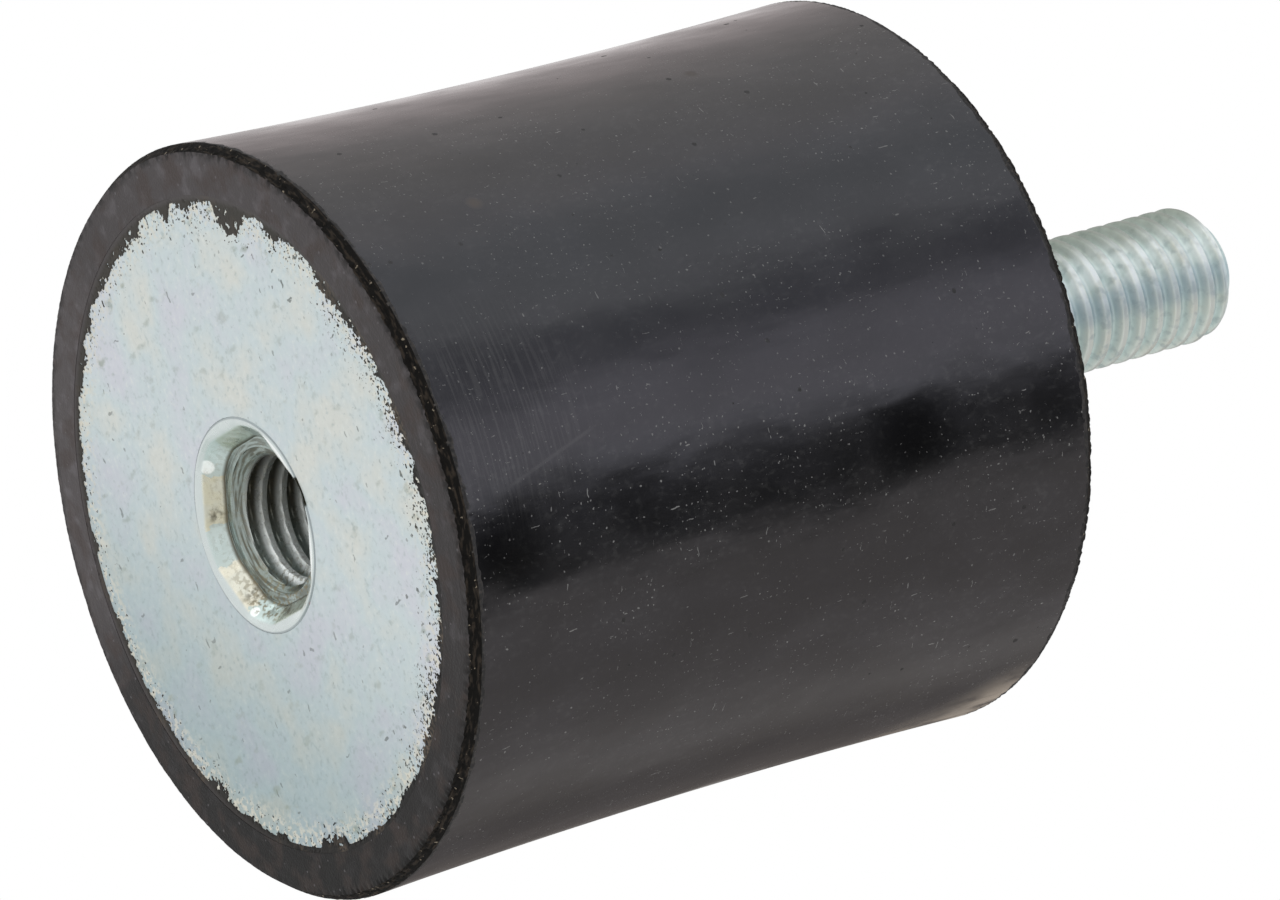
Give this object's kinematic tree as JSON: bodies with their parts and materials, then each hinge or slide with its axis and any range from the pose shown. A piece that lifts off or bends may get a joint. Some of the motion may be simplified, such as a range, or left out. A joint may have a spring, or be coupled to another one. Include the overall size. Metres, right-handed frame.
{
  "type": "bobbin vibration mount",
  "caption": "Cylindrical rubber vibration mount bonded between two steel end plates, with a blind threaded bush in one end and a threaded stud on the other.",
  "frame": {"origin": "centre of the threaded-hole end, on the plane that the mount stands on", "axes": "+Z along the axis from the threaded hole to the stud; +X towards the middle of one flat of the bush's mouth"},
  "size_m": [0.0404, 0.0404, 0.0641],
  "materials": {
    "rubber": "satin",
    "zinc_plate": "satin",
    "zinc_bush": "satin",
    "zinc_stud": "satin"
  },
  "bodies": {
    "root": {"rubber_body": "rubber", "threaded_end_plate": "zinc_plate", "threaded_bush": "zinc_bush", "stud_end_plate": "zinc_plate", "threaded_stud": "zinc_stud"}
  },
  "joints": []
}
